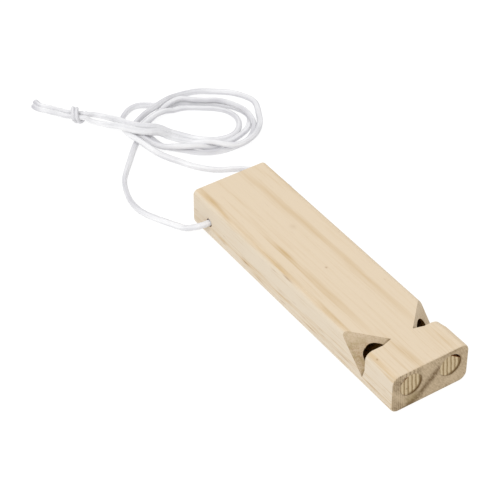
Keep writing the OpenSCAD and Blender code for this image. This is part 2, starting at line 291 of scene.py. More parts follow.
class Recipe:
    """Builds the nodes of one material. A node takes numbers, tuples or other nodes' sockets."""

    def __init__(self, name):
        self.material = bpy.data.materials.new(name)
        self.material.use_nodes = True
        self.tree = self.material.node_tree
        self.tree.nodes.clear()

    def node(self, kind, inputs=(), **settings):
        made = self.tree.nodes.new("ShaderNode" + kind)
        for key, value in settings.items():
            setattr(made, key, value)
        pairs = inputs.items() if isinstance(inputs, dict) else enumerate(inputs)
        for key, value in pairs:
            if isinstance(value, NodeSocket):
                self.tree.links.new(value, made.inputs[key])
            elif value is not None:
                made.inputs[key].default_value = value
        return made

    def math(self, operation, *inputs):
        return self.node("Math", inputs, operation=operation).outputs[0]

    def add(self, *values):
        total = values[0]
        for value in values[1:]:
            total = self.math("ADD", total, value)
        return total

    def times(self, a, b):
        return self.math("MULTIPLY", a, b)

    def vector(self, operation, *inputs, out=0):
        return self.node("VectorMath", inputs, operation=operation).outputs[out]

    def step(self, value, low, high):
        """Rises smoothly from 0 at low to 1 at high."""
        inputs = {"Value": value, "From Min": low, "From Max": high}
        return self.node("MapRange", inputs, interpolation_type="SMOOTHSTEP").outputs[0]

    def bell(self, value, middle, width):
        """1 at the middle, falling off on both sides over the width."""
        off = self.math("DIVIDE", self.math("SUBTRACT", value, middle), width)
        return self.math("EXPONENT", self.times(self.times(off, off), -1.0))

    def spot(self, place, middle, reach):
        """1 at the middle, falling off over a reach of its own along each axis."""
        off = self.vector("DIVIDE", self.vector("SUBTRACT", place, middle), reach)
        square = self.vector("DOT_PRODUCT", off, off, out="Value")
        return self.math("EXPONENT", self.times(square, -1.0))

    def noise(self, place, scale, detail, roughness):
        inputs = {"Vector": place, "Scale": scale, "Detail": detail, "Roughness": roughness}
        return self.node("TexNoise", inputs).outputs["Fac"]

    def swing(self, noise, strength):
        """A noise moved to swing about zero, at a strength."""
        return self.times(self.math("SUBTRACT", noise, 0.5), strength)

    def mix(self, factor, first, second):
        made = self.node("Mix", {0: factor}, data_type="RGBA", clamp_factor=True)
        for key, value in ((6, first), (7, second)):
            if isinstance(value, NodeSocket):
                self.tree.links.new(value, made.inputs[key])
            else:
                made.inputs[key].default_value = (*value, 1.0)
        return made.outputs[2]

    def millimetres(self):
        """The place on the piece, in millimetres, and its three parts."""
        place = self.node("TexCoord").outputs["Object"]
        place = self.node("VectorMath", {0: place, "Scale": 1 / MM}, operation="SCALE").outputs[0]
        return place, *self.node("SeparateXYZ", [place]).outputs[:3]

    def facing(self):
        """The three parts of the direction that the surface faces."""
        return self.node("SeparateXYZ", [self.node("NewGeometry").outputs["Normal"]]).outputs[:3]

    def finish(self, base, height, depth, rough, **constants):
        """The surface itself, with its colour, fine relief and gloss."""
        bump = self.node("Bump", {"Height": height, "Distance": depth, "Strength": 1.0})
        inputs = {"Base Color": base, "Roughness": rough, "Normal": bump.outputs[0]}
        inputs.update({key.replace("_", " "): value for key, value in constants.items()})
        surface = self.node("BsdfPrincipled", inputs)
        self.node("OutputMaterial", {"Surface": surface.outputs[0]})
        return self.material


# Streaks of late wood: middle, reach along each axis, drift sideways along the block, and strength.
# Places are in millimetres here and below. The last eleven lie on the left side, the others on the top face
STREAKS = (
    ((9.3, -8, 20), (1.7, 46, 3), -0.01, 0.50),
    ((7.2, 50, 20), (1.9, 30, 3), -0.06, 0.50),
    ((15.0, -20, 20), (0.7, 30, 3), 0.0, 0.25),
    ((14.6, 64, 20), (0.6, 11, 3), -0.02, 0.35),
    ((12.6, -68, 20), (1.6, 10, 3), 0.02, 0.50),
    ((-6.4, -66, 20), (1.7, 13, 3), -0.03, 0.60),
    ((-12.0, -66, 20), (0.4, 10, 3), 0.0, 0.30),
    ((-10.2, -16, 20), (1.8, 23, 3), -0.005, 0.60),
    ((-10.5, 15, 20), (1.1, 7, 3), 0.01, 0.85),
    ((-9.6, 34, 20), (1.4, 20, 3), 0.02, 0.30),
    ((-12.0, 8, 20), (0.4, 44, 3), 0.003, 0.45),
    ((-13.4, 44, 20), (1.0, 34, 3), 0.0, -0.60),
    ((-14.7, -13, 20), (0.5, 9, 3), 0.01, 0.35),
    ((-17.8, 0, 20), (1.5, 90, 3), 0.0, 0.40),
    ((-17.9, -32, 20), (0.8, 10, 3), 0.005, 0.55),
    ((-18.9, 6, 20), (0.4, 7, 3), 0.0, 0.70),
    ((-18.4, 8, 20), (1.1, 18, 3), 0.0, 0.30),
    ((18.4, 58, 20), (1.1, 13, 3), 0.0, 0.45),
    ((-18.0, 51, 20), (0.7, 5, 3), 0.03, 0.60),
    ((-17.3, 63, 20), (1.5, 9, 3), 0.02, 0.70),
    ((-7.0, 57, 20), (0.3, 9, 3), 0.0, 0.40),
    ((-1.0, -21, 20), (0.35, 18, 3), 0.0, 0.25),
    ((-20, 20, 8), (3, 90, 3), 0.0, 0.20),
    ((-20, 25, 13.5), (3, 60, 2.6), 0.0, -0.45),
    ((-20, -44, 7), (3, 11, 0.7), 0.0, 0.60),
    ((-20, -34, 11), (3, 9, 0.4), 0.0, 0.35),
    ((-20, -18, 5.3), (3, 6, 0.5), 0.0, 0.50),
    ((-20, 3, 8), (3, 5, 1.0), 0.0, 0.40),
    ((-20, 22, 5.5), (3, 4, 0.6), 0.0, 0.50),
    ((-20, 32, 7.2), (3, 5, 0.6), 0.0, 0.90),
    ((-20, 51, 7), (3, 4, 0.9), 0.0, 0.60),
    ((-20, -60, 5.5), (3, 5, 0.6), 0.0, 0.50),
    ((-20, -64, 3.2), (3, 9, 0.4), 0.0, 0.50),
)
# Specks and resin pits: middle, reach along each axis, and strength
SPECKS = (
    ((-1.3, -3.0, 20), (0.45, 0.6, 1), 0.55),
    ((2.8, 28, 20), (1.4, 1.6, 1), 0.13),
    ((15.0, -23.5, 20), (0.35, 0.7, 1), 0.2),
    ((-17.8, -61.5, 19.8), (0.35, 0.5, 1), 0.7),
    ((-20, 32, 7.0), (1, 2.4, 0.32), 0.8),
    ((-20, -42, 7.0), (1, 6, 0.3), 0.4),
    ((-20, 21, 5.0), (1, 3, 0.3), 0.3),
    ((-20, -62, 6.0), (1, 4, 0.3), 0.35),
    ((-19.1, 1, 19.4), (1, 3, 0.22), 0.6),
    ((-20, 10, 18.0), (1, 1.8, 0.18), 0.4),
    ((-20, -18, 5.3), (1, 3.0, 0.25), 0.45),
    ((-20, 51, 6.4), (1, 3.0, 0.25), 0.3),
)
PITH = (-56.0, 0.0, 65.0)        # middle of the tree's rings, beyond the block's upper left edge
RING_RADIUS, RING_WIDTH = 79.0, 1.8
# Darker and paler patches of the end grain: middle across and up, reach, and strength
END_PATCHES = (
    ((-18.0, 15.5), (3.2, 5.5), 0.34),
    ((-16.5, 2.6), (4.5, 3.0), 0.32),
    ((-10.0, 4.0), (2.6, 2.6), 0.10),
    ((-9.5, 2.0), (2.2, 1.2), 0.25),
    ((-2.0, 16.0), (2.5, 3.0), -0.10),
    ((1.0, 4.0), (3.0, 2.5), -0.10),
    ((13.0, 4.0), (4.5, 2.6), -0.20),
    ((10.5, 19.2), (4.0, 1.2), 0.30),
    ((-6.7, 18.3), (1.8, 1.5), 0.20),
    ((-13.6, 17.1), (0.9, 0.5), 1.0),
    ((-15.6, 15.5), (0.6, 0.6), 0.8),
)
RIGHT_THROUGH = 1000        # reach that carries a spot through the whole block
HEART_STAIN = (-9.5, 0, 4.5), (4.0, RIGHT_THROUGH, 2.6)        # middle and reach
PLUG_SPECK = (-12.2, -75, 10.8), (0.5, 2, 0.4)
TURN = 2 * math.pi

# Noise in the wood: stretch along each axis, scale, detail and roughness. The fibres run along the block
FIBRE = (1.0, 0.03, 1.0), 1.1, 3.0, 0.6
BAND = (1.0, 0.018, 1.0), 0.32, 2.0, 0.5
WANDER = (0.2, 0.6, 0.2), 0.06, 1.0, 0.5
DASH = (1.0, 0.07, 1.0), 1.9, 1.0, 0.5
MOTTLE = (1.0, 0.05, 1.0), 0.55, 3.0, 0.6
GRIT = (1.0, 0.05, 1.0), 1.2, 2.0, 0.5
TORN = (1.0, 1.0, 1.0), 1.5, 3.0, 0.7
PORE = (1.0, 0.05, 1.0), 2.6, 2.0, 0.5
RING_WAVER = (0.5, 0.02, 0.5), 0.7, 2.0, 0.5
RAY = (0.57, -0.82)        # direction of the fine rays across the rings
RAY_STRETCH, RAY_SCALE, RAY_DETAIL, RAY_ROUGHNESS = 0.25, 1.5, 3.0, 0.6

# Long grain: strength of the fine fibres, what some stretches of an axis add to it, and the other layers
FIBRE_STRENGTH = 0.85
FIBRE_EXTRA = (
    ("x", (-9.0, -14.0), 0.75),        # left part of the top
    ("x", (8.0, 14.0), 0.3),        # right part of the top
    ("x", (-18.4, -19.8), 1.4),        # left side
    ("y", (-54.0, -58.0), 0.9),        # mouth part
)
BAND_STRENGTH, WANDER_REACH, STREAK_STRENGTH, SPECK_MOST = 0.8, 2.2, 0.76, 0.9
DASH_STRENGTH, LOW_DASH_STRENGTH, DASH_FROM = 0.08, 0.44, (0.63, 0.76)
# End grain: share of late wood, and the strength of each layer on it
LATE_WOOD, MOTTLE_STRENGTH, RAY_STRENGTH, GRIT_STRENGTH = 0.2, 0.35, 1.5, 0.6
RING_STRENGTH, RING_GRIT, RING_WANDER = 0.75, 0.5, 0.8
PALE_LINE_SLANT, PALE_LINE_PLACE, PALE_LINE_WIDTH, PALE_LINE_STRENGTH = (0.77, 0.64), -7.5, 1.1, -0.38
LINE_SLANT, LINE_STRENGTH, BAR_STRENGTH = 0.06, 0.34, -0.34
FOOT_STRENGTH, STAIN_STRENGTH = 0.2, 0.45
# Saw cuts: where the noise turns to another colour, and the strength of each layer
HEART_FROM, TORN_FROM = (0.40, 0.75), (0.48, 0.66)
CUT_STRENGTH, TORN_STRENGTH, PALER_STRENGTH, LIP_STRENGTH, KERF_STRENGTH = 0.9, 0.75, 0.35, 0.45, 0.8
# Brown line beside a plug, glued joint and painted shade on the side away from the light: the way it lies
# from a bore's axis, how far a place leans that way, its width and strength
GLUE_SHADE_WAY, GLUE_SHADE_LEAN, GLUE_SHADE_WIDTH, GLUE_SHADE_STRENGTH = (0.9, -0.44), (0.1, 0.7), 0.6, 0.8
SLIT_LEAN = (-0.6, -0.4)        # at the mouth face, the painted shade on the wall of a bore reaches only this far round
# Relief and gloss
FIBRE_RELIEF, TORN_RELIEF, RAY_RELIEF, PINE_RELIEF = 0.5, 2.5, 0.3, 0.04 * MM
PINE_ROUGH, END_ROUGHER, PINE_SPECULAR = 0.58, 0.2, 0.35
DOWEL_RELIEF, DOWEL_ROUGH, DOWEL_SPECULAR = 0.05 * MM, 0.75, 0.3
# Dowels: slant and waver of the year rings, the shift apart of the two plugs, rings in each millimetre
DOWEL_MIDDLE, DOWEL_SLANT, DOWEL_WAVER = 12.0, 0.09, 0.7
DOWEL_SHIFT, DOWEL_START, DOWEL_RINGS = -0.2, 0.55, 0.5
DOWEL_COMES, DOWEL_STOPS = (0.30, 0.80), (1.0, 0.90)        # late wood in each ring
DOWEL_LATE, PORE_STRENGTH, PORE_MIDDLE, PLUG_SPECK_STRENGTH = 0.85, 0.8, 0.45, 0.7
RIM_WAY, RIM_LEAN, RIM_REACH = (0.8, -0.6), (0.1, 0.8), (-1.7, -0.4)        # glued joint and painted shade on the edge of a plug, on the side away from the light

# Where a change of finish starts and where it is complete, along one axis
LEFT_SIDE = (-18.0, -19.6)        # x, round the upper left edge
ABOVE_FOOT = (0.0, 3.0)        # z
LOW_SIDE = (12.5, 9.5)        # z, below the pale band of the left side
RING_TOP = (17.5, 12.0)        # z, where the year ring comes in
END_FOOT = (1.6, 0.4)        # z, darker lower edge of the ends
PALE_CORNER = (-11.5, -13.5)        # x, pale line in the left corner of the ends
LINED_CORNER = (-12.0, -15.0)        # x, fine dark lines in the left corner
BARS_TOP, BARS_LEFT, BARS_RIGHT = (16.0, 17.5), (-14.5, -13.0), (-6.0, -7.5)        # above the left plug
RAMPS_FROM = (-60.0, -58.0)        # y
RIGHT_WINDOW = (5.0, 8.0)        # x
RAMP_TOP, RAMP_LIP = (14.0, 19.0), (16.5, 18.5)        # z
KERF = (1.4, 0.2)        # y, past the deepest line of a window, where a line of painted shade runs along the kerf
GLUE_SHADE_FROM = (-74.0, -74.5)        # y, at the mouth face
SLIT_FROM = (-74.2, -73.6)        # y, just behind the mouth face
BORE_END = (41.0, 40.2)        # y
BORE_LIGHT = (-64.0, -58.0)        # y, where light from the window falls on the wall of a bore
CHIPS_FROM = (-57.0, -56.0)        # y
HOLE_DEEP = (-0.5, -2.0)        # x, from a side of the block to where the wall of the cord hole gets painted shade
WALL_REACH, HOLE_REACH = (0.04, 0.02), (0.06, 0.02)        # beyond the radius of a drilled wall
# How far a face looks along the block, and upwards
SAWN_END = (0.62, 0.92)
RAMP_LEAST, RAMP_MOST = (-0.30, -0.48), (-0.85, -0.70)
# Upwards, the plug's flat, which gets the painted warm shade
PLUG_FLAT = (0.4, 0.6)


class Wood(Recipe):
    """A recipe that knows the place on the whistle and its bores."""

    def __init__(self, name, sizes, colours):
        super().__init__(name)
        self.sizes = sizes
        self.colours = colours
        self.place, self.x, self.y, self.z = self.millimetres()
        self.axes = {"x": self.x, "y": self.y, "z": self.z}

    def grain(self, stretch, scale, detail, roughness):
        """Noise that is stretched along the fibres."""
        return self.noise(self.vector("MULTIPLY", self.place, stretch), scale, detail, roughness)

    def near(self, value, edge, reach):
        """Rises smoothly from 0 to 1 between two places beside an edge."""
        return self.step(value, edge + reach[0], edge + reach[1])

    def round_bore(self, way):
        """The distance from the nearer bore's axis, and how far a place leans one way from it."""
        near_axis = self.times(self.math("SIGN", self.x), self.sizes.bore_x / MM)
        beside = self.math("SUBTRACT", self.x, near_axis)
        above = self.math("SUBTRACT", self.z, self.sizes.bore_z / MM)
        away = self.math("SQRT", self.add(self.times(beside, beside), self.times(above, above)))
        along = self.add(self.times(beside, way[0]), self.times(above, way[1]))
        return away, self.math("DIVIDE", along, away)

    def from_axis(self, middle, across):
        """The distance from an axis through the middle. Across is 1 on the two axes that lie across it."""
        off = self.vector("MULTIPLY", self.vector("SUBTRACT", self.place, middle), across)
        return self.vector("LENGTH", off, out="Value")


class Pine(Wood):
    """Sanded pine right through the block: streaks along it, year rings across its ends, rough saw cuts."""

    def paint(self):
        facing_y = self.facing()[1]
        across = self.math("ABSOLUTE", facing_y)
        fibre = self.grain(*FIBRE)
        mottle = self.grain(*MOTTLE)
        torn = self.grain(*TORN)
        ray = self.rays()
        slope = self.times(self.step(facing_y, *RAMP_LEAST), self.step(facing_y, *RAMP_MOST))
        slope = self.times(slope, self.step(self.y, *RAMPS_FROM))

        base = self.long_grain(fibre)
        base = self.mix(self.step(across, *SAWN_END), base, self.end_grain(mottle, ray))
        base = self.mix(self.times(slope, CUT_STRENGTH), base, self.saw_cut(mottle, torn))
        base = self.specks(base)
        base, in_bore = self.bores(base)
        base = self.cord_hole(base)

        relief = self.add(
            self.times(fibre, FIBRE_RELIEF),
            self.times(self.times(torn, slope), TORN_RELIEF),
            self.times(ray, RAY_RELIEF),
        )
        rough = self.math("MAXIMUM", self.add(PINE_ROUGH, self.times(across, END_ROUGHER)), in_bore)
        return self.finish(base, relief, PINE_RELIEF, rough, Specular_IOR_Level=PINE_SPECULAR)

    def long_grain(self, fibre):
        """The faces along the block: bands, streaks in their places, fine fibres and dashes of resin."""
        streak = self.swing(self.grain(*BAND), BAND_STRENGTH)
        wander = self.swing(self.grain(*WANDER), WANDER_REACH)
        for middle, reach, drift, strength in STREAKS:
            slide = self.add(self.times(self.math("SUBTRACT", self.y, middle[1]), -drift), wander)
            shift = self.node("CombineXYZ", [slide, 0.0, 0.0]).outputs[0]
            spot = self.spot(self.vector("ADD", self.place, shift), middle, reach)
            streak = self.add(streak, self.times(spot, strength))
        coarse = FIBRE_STRENGTH
        for axis, stretch, extra in FIBRE_EXTRA:
            coarse = self.add(coarse, self.times(self.step(self.axes[axis], *stretch), extra))
        streak = self.times(self.add(streak, self.swing(fibre, coarse)), STREAK_STRENGTH)

        on_side = self.times(self.step(self.x, *LEFT_SIDE), self.step(self.z, *ABOVE_FOOT))
        base = self.mix(on_side, self.colours.pine, self.colours.pine_side)
        base = self.mix(streak, base, self.colours.streak)
        low_side = self.times(on_side, self.step(self.z, *LOW_SIDE))
        strength = self.add(DASH_STRENGTH, self.times(low_side, LOW_DASH_STRENGTH))
        dash = self.times(self.step(self.grain(*DASH), *DASH_FROM), strength)
        return self.mix(dash, base, self.colours.resin)

    def rays(self):
        """Fine rays of the end grain, square to the year ring."""
        along = self.add(self.times(self.x, RAY[0]), self.times(self.z, RAY[1]))
        across = self.add(self.times(self.x, -RAY[1]), self.times(self.z, RAY[0]))
        place = self.node("CombineXYZ", [self.times(along, RAY_STRETCH), 0.0, across]).outputs[0]
        return self.noise(place, RAY_SCALE, RAY_DETAIL, RAY_ROUGHNESS)

    def end_grain(self, mottle, ray):
        """The sawn ends: one broad year ring, patches, rays and fine lines."""
        grit = self.grain(*GRIT)
        radius = self.add(self.from_axis(PITH, (1, 0, 1)), self.swing(mottle, RING_WANDER))
        ring = self.times(self.bell(radius, RING_RADIUS, RING_WIDTH), self.step(self.z, *RING_TOP))
        ring = self.times(ring, self.add(RING_STRENGTH, self.swing(grit, RING_GRIT)))
        late = self.add(LATE_WOOD, self.swing(mottle, MOTTLE_STRENGTH), self.swing(ray, RAY_STRENGTH))
        late = self.add(late, self.swing(grit, GRIT_STRENGTH), ring)
        for (patch_x, patch_z), (reach_x, reach_z), strength in END_PATCHES:
            patch = self.spot(self.place, (patch_x, 0, patch_z), (reach_x, RIGHT_THROUGH, reach_z))
            late = self.add(late, self.times(patch, strength))
        foot = self.times(self.step(self.z, *END_FOOT), FOOT_STRENGTH)
        late = self.add(late, self.end_lines(), foot)
        end = self.mix(late, self.colours.end_grain, self.colours.ring)
        stain = self.times(self.spot(self.place, *HEART_STAIN), STAIN_STRENGTH)
        return self.mix(stain, end, self.colours.heart)

    def end_lines(self):
        """A pale line and fine dark lines in the left corner, and bars above the left plug."""
        slant = self.add(self.times(self.x, PALE_LINE_SLANT[0]), self.times(self.z, PALE_LINE_SLANT[1]))
        pale = self.bell(slant, PALE_LINE_PLACE, PALE_LINE_WIDTH)
        pale = self.times(self.times(pale, self.step(self.x, *PALE_CORNER)), PALE_LINE_STRENGTH)
        lines = self.math("SINE", self.times(self.add(self.x, self.times(self.z, LINE_SLANT)), TURN))
        lines = self.times(self.times(lines, self.step(self.x, *LINED_CORNER)), LINE_STRENGTH)
        bars = self.times(self.math("COSINE", self.times(self.x, TURN / 2)), BAR_STRENGTH)
        for value, stretch in ((self.z, BARS_TOP), (self.x, BARS_LEFT), (self.x, BARS_RIGHT)):
            bars = self.times(bars, self.step(value, *stretch))
        return self.add(pale, lines, bars)

    def saw_cut(self, mottle, torn):
        """The ramps of the windows, rough across the fibres, paler on the right, with a line of painted
        shade in the kerf.
        """
        sizes, colours = self.sizes, self.colours
        on_right = self.step(self.x, *RIGHT_WINDOW)
        base = self.mix(self.step(mottle, *HEART_FROM), colours.ramp, colours.heart)
        base = self.mix(self.times(self.step(torn, *TORN_FROM), TORN_STRENGTH), base, colours.resin)
        paler = self.math("MAXIMUM", on_right, self.step(self.z, *RAMP_TOP))
        base = self.mix(self.times(paler, PALER_STRENGTH), base, colours.pine)
        lip = self.times(on_right, self.step(self.z, *RAMP_LIP))
        base = self.mix(self.times(lip, LIP_STRENGTH), base, colours.pine)
        # Painted shade: a dark brown line in the saw kerf at the foot of the window's wall
        deepest = (-sizes.block_length / 2 + sizes.window_from_mouth + sizes.toe_length) / MM
        return self.mix(self.times(self.near(self.y, deepest, KERF), KERF_STRENGTH), base, colours.glue_and_shade)

    def specks(self, base):
        speck = 0.0
        for middle, reach, strength in SPECKS:
            speck = self.add(speck, self.times(self.spot(self.place, middle, reach), strength))
        return self.mix(self.math("MINIMUM", speck, SPECK_MOST), base, self.colours.resin)

    def bores(self, base):
        """The drilled walls in painted shade, lighter where window light falls, the chipped lip of the right
        bore, and a brown line right of each plug, from its glued joint and painted shade.
        """
        sizes, colours = self.sizes, self.colours
        wall = sizes.bore_radius / MM
        away, lean = self.round_bore(GLUE_SHADE_WAY)
        # Painted shade with the glued joint: a brown line just outside each bore at the mouth face, only on
        # its right and lower side, away from the light
        glue_and_shade = self.times(self.bell(away, wall, GLUE_SHADE_WIDTH), self.step(lean, *GLUE_SHADE_LEAN))
        glue_and_shade = self.times(glue_and_shade, self.step(self.y, *GLUE_SHADE_FROM))
        base = self.mix(self.times(glue_and_shade, GLUE_SHADE_STRENGTH), base, colours.glue_and_shade)

        in_bore = self.times(self.near(away, wall, WALL_REACH), self.step(self.y, *BORE_END))
        chip_middle = ((sizes.bore_x + RIGHT_CHIP[0]) / MM, 0, (sizes.bore_z + RIGHT_CHIP[1]) / MM)
        in_chip = self.near(self.from_axis(chip_middle, (1, 0, 1)), wall, WALL_REACH)
        in_bore = self.math("MAXIMUM", in_bore, self.times(in_chip, self.step(self.y, *CHIPS_FROM)))
        slit = self.math("MAXIMUM", self.step(self.y, *SLIT_FROM), self.step(lean, *SLIT_LEAN))
        # Painted shade on the walls of the bores and of the chipped lip, with a painted pool of lighter
        # brown where window light falls
        dark = self.mix(self.step(self.y, *BORE_LIGHT), colours.bore, colours.lit_bore_wall)
        return self.mix(self.times(in_bore, slit), base, dark), in_bore

    def cord_hole(self, base):
        """The wall of the cord hole, brown at its mouths and in painted shade inside."""
        sizes = self.sizes
        middle = (0, FAR_FACE - sizes.hole_inset / MM, sizes.hole_z / MM)
        in_hole = self.near(self.from_axis(middle, (0, 1, 1)), sizes.hole_radius / MM, HOLE_REACH)
        # Painted shade: deeper in, the wall of the hole takes the dark colour of the bores
        deep = self.near(self.math("ABSOLUTE", self.x), sizes.block_width / 2 / MM, HOLE_DEEP)
        return self.mix(in_hole, base, self.mix(deep, self.colours.hole, self.colours.bore))


class Dowel(Wood):
    """Sawn end of a dowel, with the straight lines of its year rings, a brown line on its right from its
    glued joint and painted shade, and painted warm shade on its flat.
    """

    def paint(self):
        colours = self.colours
        pore = self.grain(*PORE)
        pores = self.times(self.math("SUBTRACT", pore, PORE_MIDDLE), PORE_STRENGTH)
        late = self.add(self.times(self.rings(), DOWEL_LATE), pores)
        base = self.mix(late, colours.dowel, colours.dowel_ring)
        away, lean = self.round_bore(RIM_WAY)
        # Painted shade with the glued joint: brown on the right part of the plug's rim, away from the light
        rim = self.near(away, self.sizes.plug_radius / MM, RIM_REACH)
        base = self.mix(self.times(rim, self.step(lean, *RIM_LEAN)), base, colours.glue_and_shade)
        # Painted shade: the plug's flat, seen only through the narrow windway, gets a warm dark colour for
        # the shade in that gap
        base = self.mix(self.step(self.facing()[2], *PLUG_FLAT), base, colours.windway)
        speck = self.times(self.spot(self.place, *PLUG_SPECK), PLUG_SPECK_STRENGTH)
        base = self.mix(speck, base, colours.glue_and_shade)
        return self.finish(base, pore, DOWEL_RELIEF, DOWEL_ROUGH, Specular_IOR_Level=DOWEL_SPECULAR)

    def rings(self):
        """Late wood of the year rings: each line comes in slowly and stops short."""
        slant = self.times(self.math("SUBTRACT", self.z, DOWEL_MIDDLE), DOWEL_SLANT)
        across = self.add(self.x, slant, self.times(self.grain(*RING_WAVER), DOWEL_WAVER))
        shift = self.times(self.math("SIGN", self.x), DOWEL_SHIFT)
        phase = self.math("FRACT", self.times(self.add(across, shift, DOWEL_START), DOWEL_RINGS))
        return self.times(self.step(phase, *DOWEL_COMES), self.step(phase, *DOWEL_STOPS))


# Satin cord: places along it are in millimetres before its tip, so below zero
WEAVE_MAP = "along_cord"
WRING = 0.02        # how far the flat section turns in each millimetre of cord, in radians
FLATNESS = 0.1        # how far the section is from round
# Where the threads spread before the knot, and by how much
SLACK_FROM, SLACK_TO, SLACK = -92, -30, 0.28
THREADS = 6        # round the cord
STITCHES_ALONG, STITCHES_ROUND = 1.6, 7.0        # in each millimetre, and round the cord
DRIFT_SHADE_ALONG, DRIFT_SHADE_ROUND, DRIFT_SHADE = 0.07, 1.5, (1.0, 2.0, 0.5)        # painted shade that drifts slowly along the cord: stretch, then scale, detail and roughness
# Stretches of the cord: its sealed tip, all of it before the end run, and its loops. The last two get
# painted shade, more where the loops lie in a bundle
SEALED_TIP, BEFORE_KNOT, LOOPED = (-7.0, -1.0), (-90.0, -140.0), (-440.0, -390.0)
LOOSE_GREY, KNOT_SHADE_GREY = 0.2, 0.52        # grey of the free cord, and of the knot, where the extra grey is painted shade
FLANK_GREY, THREAD_GREY, STITCH_GREY, DRIFT_SHADE_GREY = 0.18, 0.08, 0.05, 1.3
TIP_GREY, BEFORE_KNOT_GREY, LOOPED_GREY = 0.8, 0.1, 0.22
THREAD_RELIEF, STITCH_RELIEF, SATIN_RELIEF = 0.6, 0.4, 0.03 * MM
SATIN_ROUGH, SATIN_SPECULAR, SATIN_SHEEN, SATIN_SHEEN_ROUGH = 0.42, 0.4, 0.2, 0.4


def satin(name, colours, shade):
    """White satin cord: fine threads along it, flat sides in painted shade, painted shade before the end
    run, more in the loops and in a slow drift along it, and grey sealed ends.
    """
    make = Recipe(name)
    uv = make.node("UVMap", uv_map=WEAVE_MAP).outputs[0]
    around, along, _ = make.node("SeparateXYZ", [uv]).outputs[:3]
    turned = make.math("SUBTRACT", make.times(around, TURN), make.times(along, WRING))
    flank = make.math("COSINE", make.times(turned, 2.0))
    thread = make.math("SINE", make.times(turned, THREADS))
    stitches = make.add(make.times(along, STITCHES_ALONG), make.times(around, STITCHES_ROUND))
    stitch = make.math("SINE", make.times(stitches, TURN))
    # Painted shade that drifts slowly along and round the cord
    drift_shade_parts = [make.times(along, DRIFT_SHADE_ALONG), make.times(around, DRIFT_SHADE_ROUND), 0.0]
    drift_shade = make.noise(make.node("CombineXYZ", drift_shade_parts).outputs[0], *DRIFT_SHADE)
    # Painted shade: greyer before the end run, more where the loops lie in a bundle
    before_knot = make.step(along, *BEFORE_KNOT)
    looped = make.times(make.step(along, *LOOPED), before_knot)
    grey = make.add(shade, make.swing(drift_shade, DRIFT_SHADE_GREY))
    for layer, strength in (
        (flank, FLANK_GREY), (thread, THREAD_GREY), (stitch, STITCH_GREY),
        (make.step(along, *SEALED_TIP), TIP_GREY), (before_knot, BEFORE_KNOT_GREY), (looped, LOOPED_GREY),
    ):
        grey = make.add(grey, make.times(layer, strength))
    base = make.mix(grey, colours.cord, colours.cord_threads_and_shade)
    relief = make.add(make.times(thread, THREAD_RELIEF), make.times(stitch, STITCH_RELIEF))
    return make.finish(
        base, relief, SATIN_RELIEF, SATIN_ROUGH, Specular_IOR_Level=SATIN_SPECULAR,
        Sheen_Weight=SATIN_SHEEN, Sheen_Roughness=SATIN_SHEEN_ROUGH,
    )


# The cord's route, in millimetres from the foot of the block's far face

LEFT_LEAD = (
    (0, -13.5, 9.55), (-10, -13.5, 9.7), (-17.5, -13.5, 10), (-22, -13.5, 10), (-25.2, -12.6, 9.6),
    (-26.8, -10.3, 8.2), (-27.2, -6.8, 5.6), (-27.5, -3, 3.4), (-28.5, 2.5, 1.6), (-31, 7.5, 1.4),
    (-33.5, 12.5, 1.4), (-35.5, 17.5, 1.4), (-36.5, 23, 1.4), (-36, 30, 1.4), (-33.5, 38, 1.4),
    (-30, 45, 1.4), (-25, 51, 1.4), (-19.5, 57, 1.4),
)
RIGHT_LEAD = (
    (0, -13.5, 9.55), (10, -13.5, 9.55), (17.5, -13.5, 9.55), (21.5, -13.5, 9.55), (24.5, -12.8, 9.55),
    (26.5, -10.3, 8.15), (27.8, -6.5, 5.2), (28.5, -2, 2.8), (28.5, 5, 1.4), (27.5, 11, 1.4),
    (25, 16.5, 1.4), (21, 20.5, 1.4), (16, 23.5, 1.4), (11.5, 26, 1.4), (8, 29, 1.4),
    (4.5, 33, 1.4), (1.5, 37.5, 1.4), (-1, 42.5, 1.4), (-4, 48.5, 1.6),
)
# The loops turn clockwise round one middle: distance from it and height above the floor, at every 20 degrees
LOOPS_MIDDLE = (22, 64)
LOOP_STEP = 20
LEFT_LOOPS_FROM = 180
LEFT_LOOPS = (
    (35, 1.4), (26.5, 1.4), (23, 1.4), (20.2, 2.2), (18.9, 4.2), (18.9, 4.4),
    (16.7, 4.2), (16.9, 4.2), (19.9, 4.2), (22.8, 4.2), (26.3, 4.4), (29.3, 2.9),
    (29.2, 1.4), (27, 1.4), (25.3, 1.4), (23.6, 1.4), (22.4, 1.4), (23.7, 1.4),
    (25.4, 3.4), (26.5, 4.5), (20.8, 4.5), (17.5, 3.4), (15.7, 1.5), (14.5, 1.4),
    (13.5, 1.4), (13.8, 1.4), (15.8, 1.4), (18.7, 1.4), (21, 1.4), (21.8, 1.4),
    (21, 1.4), (18, 1.4), (14.5, 1.4), (12.2, 1.4), (11.4, 1.65),
)
RIGHT_LOOPS_FROM = 200
RIGHT_LOOPS = (
    (30.3, 2.2), (32, 4.4), (35, 3.7), (36.4, 1.4), (33.4, 1.4), (21.3, 1.4),
    (19.6, 1.4), (18, 1.4), (17.7, 1.4), (19.8, 1.4), (24, 1.4), (27.3, 1.4),
    (26.3, 1.4), (23.8, 1.4), (21.9, 1.4), (21.4, 1.5), (22, 4.2), (23.8, 4.7),
    (26.6, 3.7), (28.6, 4.4), (31, 4.4), (25.9, 4.4), (22.4, 4.5), (21.8, 4.5),
    (24.2, 2.6), (27.1, 1.4), (28.6, 1.4), (32.2, 1.4), (34.7, 1.4), (32.4, 1.6),
    (31.9, 3.3), (31.7, 4.2), (29.4, 4.3), (20.6, 4.5), (16, 1.9), (14.5, 1.65),
)
